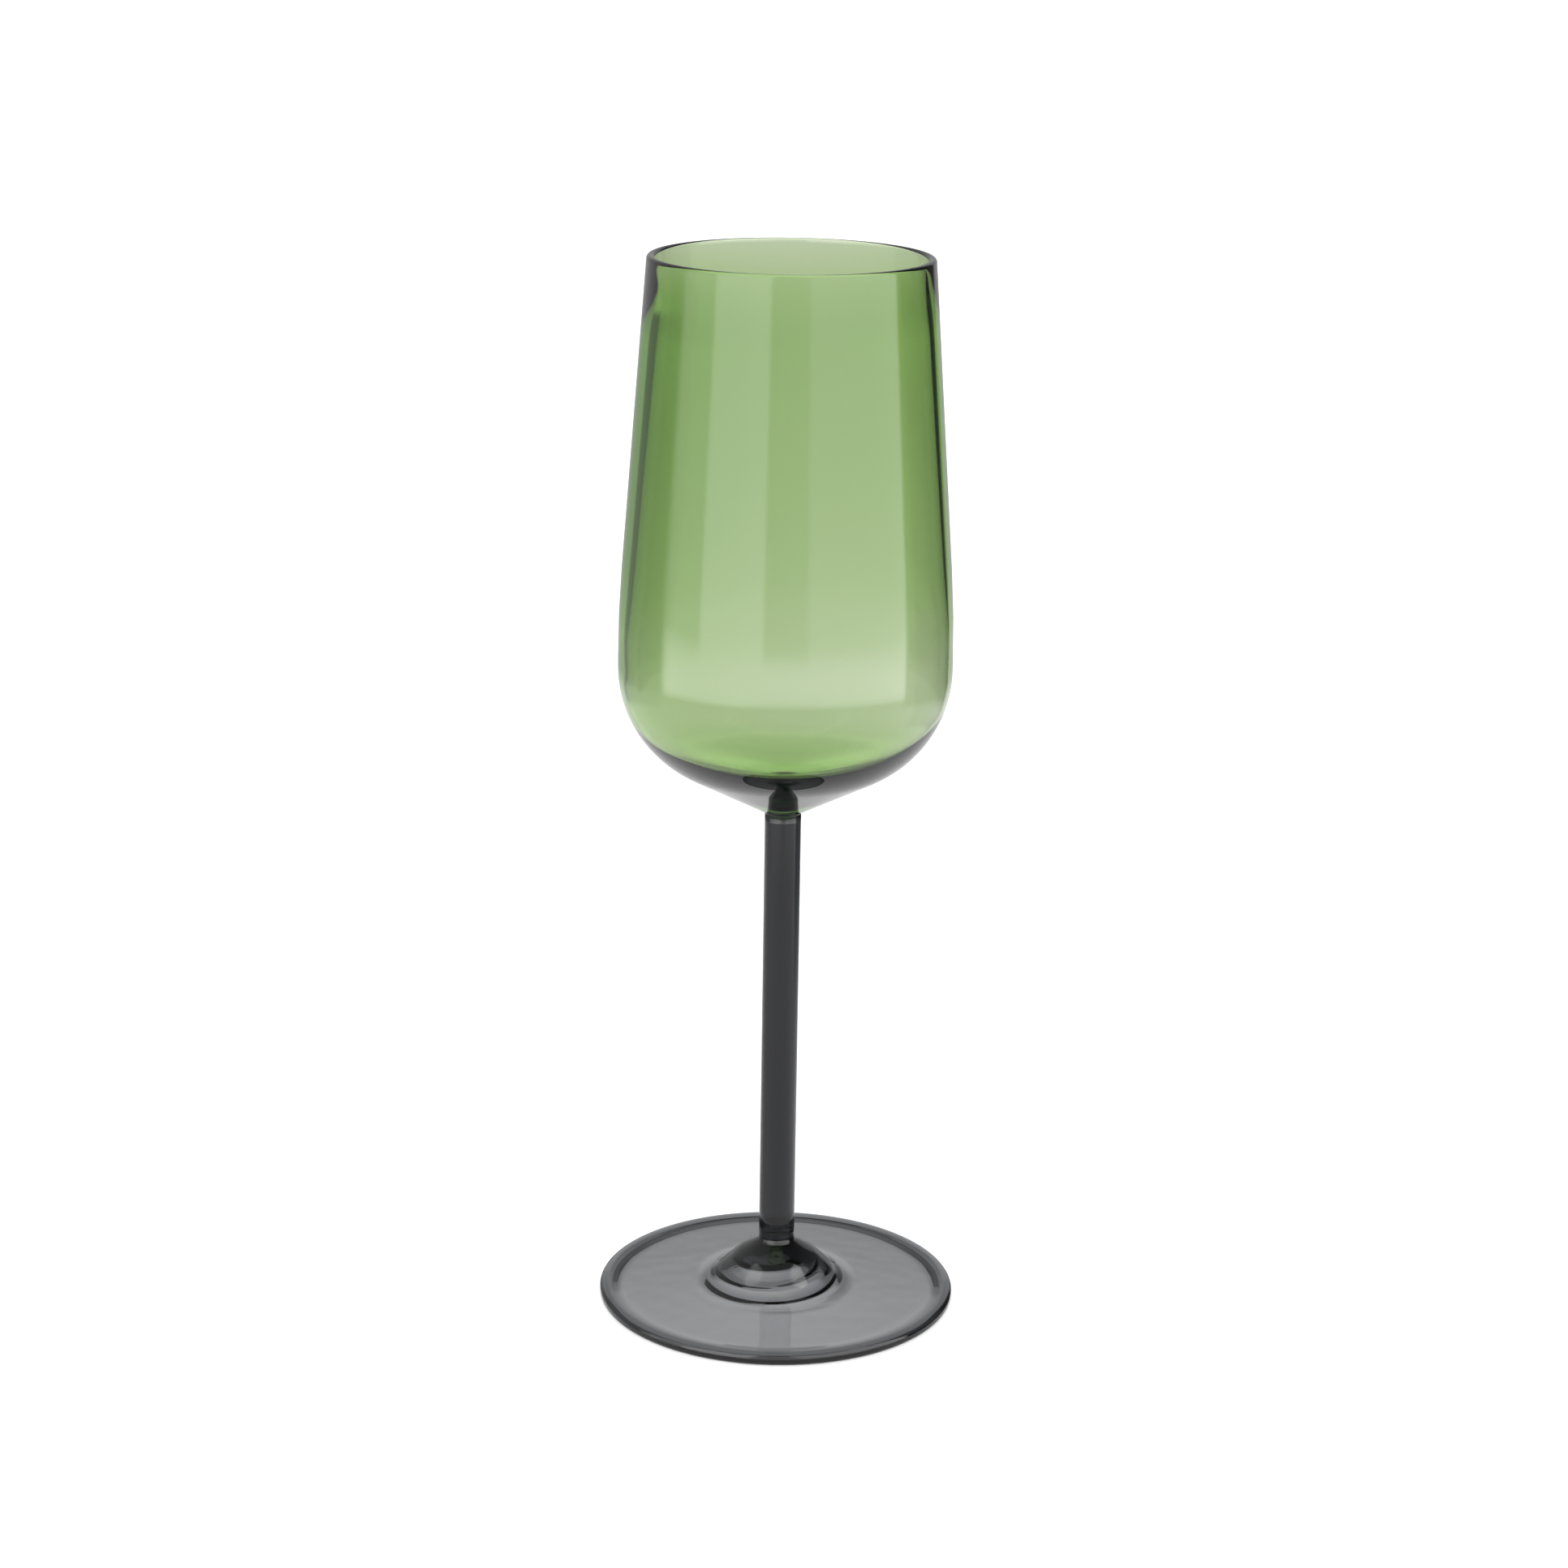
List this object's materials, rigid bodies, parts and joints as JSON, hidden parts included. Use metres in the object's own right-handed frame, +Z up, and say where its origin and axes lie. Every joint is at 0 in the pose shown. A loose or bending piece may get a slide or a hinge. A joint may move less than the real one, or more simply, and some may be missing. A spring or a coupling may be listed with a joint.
{
  "type": "stemmed wine glass",
  "caption": "Stemmed wine glass with a tapered bowl on a thick conical base, a slim solid stem and a round foot with a raised mound.",
  "frame": {"origin": "middle of the foot's resting plane", "axes": "+Z up along the stem's axis, from the foot to the rim; the glass is round about +Z, so +X and +Y have no mark of their own"},
  "size_m": [0.0748, 0.0748, 0.22],
  "materials": {
    "green_glass": "clear green glass, polished",
    "smoke_glass": "clear smoke grey glass, polished"
  },
  "bodies": {
    "root": {"bowl": "green_glass", "stem": "smoke_glass", "foot": "smoke_glass"}
  },
  "joints": []
}
